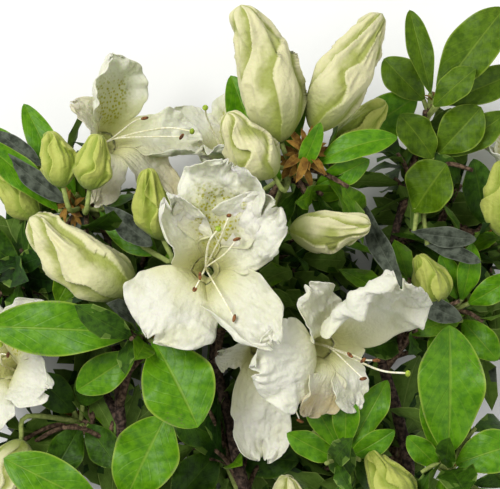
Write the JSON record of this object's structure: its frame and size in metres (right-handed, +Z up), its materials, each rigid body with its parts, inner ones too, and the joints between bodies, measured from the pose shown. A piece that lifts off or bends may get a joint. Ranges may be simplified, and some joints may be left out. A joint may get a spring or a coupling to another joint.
{
  "type": "cut azalea branch in flower",
  "caption": "Cut flowering azalea branch with forked woody stems, leaf whorls, open white blooms and closed buds, lying on a flat surface.",
  "frame": {"origin": "on the surface that the branch lies on, under the middle of its bounding box", "axes": "+Y along the growth, from the cut end to the tips; +Z up from the surface; +X to the right seen from above with the tips away"},
  "size_m": [0.2564, 0.2592, 0.122],
  "materials": {
    "bark": "rough bark",
    "stem": "scaly young bark",
    "petal": "soft satin",
    "bud": "soft satin",
    "leaf": "waxy satin"
  },
  "bodies": {
    "root": {"main_stem": "bark", "bough_center": "stem", "bough_right": "stem", "bough_left": "stem", "bough_center_upper": "stem", "bough_right_upper": "stem", "bough_left_upper": "stem", "bough_low_center": "stem", "bough_low_right": "stem", "bough_low_left": "stem", "bough_far_left": "stem", "bloom_front": "petal", "bloom_right": "petal", "bloom_low": "petal", "bloom_upper_left": "petal", "bloom_behind": "petal", "bloom_left_edge": "petal", "bloom_right_edge": "petal", "bud_top_left": "bud", "bud_top_right": "bud", "bud_top_front": "bud", "bud_side": "bud", "bud_top_behind": "bud", "bud_left_large": "bud", "bud_left_first": "bud", "bud_left_second": "bud", "bud_left_green": "bud", "bud_left_edge": "bud", "bud_right_small": "bud", "bud_right_edge": "bud", "bud_low_left": "bud", "bud_low_center": "bud", "bud_low_right": "bud", "foliage_center_front": "leaf", "foliage_center_top": "leaf", "foliage_left_front": "leaf", "foliage_left_top": "leaf", "foliage_left_edge": "leaf", "foliage_left_low": "leaf", "foliage_bottom_left": "leaf", "foliage_bottom_center": "leaf", "foliage_low_right": "leaf", "foliage_right_front": "leaf", "foliage_right_middle": "leaf", "foliage_right_edge": "leaf", "foliage_right_upper": "leaf", "foliage_top_right": "leaf", "foliage_under_center": "leaf", "foliage_under_low": "leaf", "foliage_under_left": "leaf"}
  },
  "joints": []
}
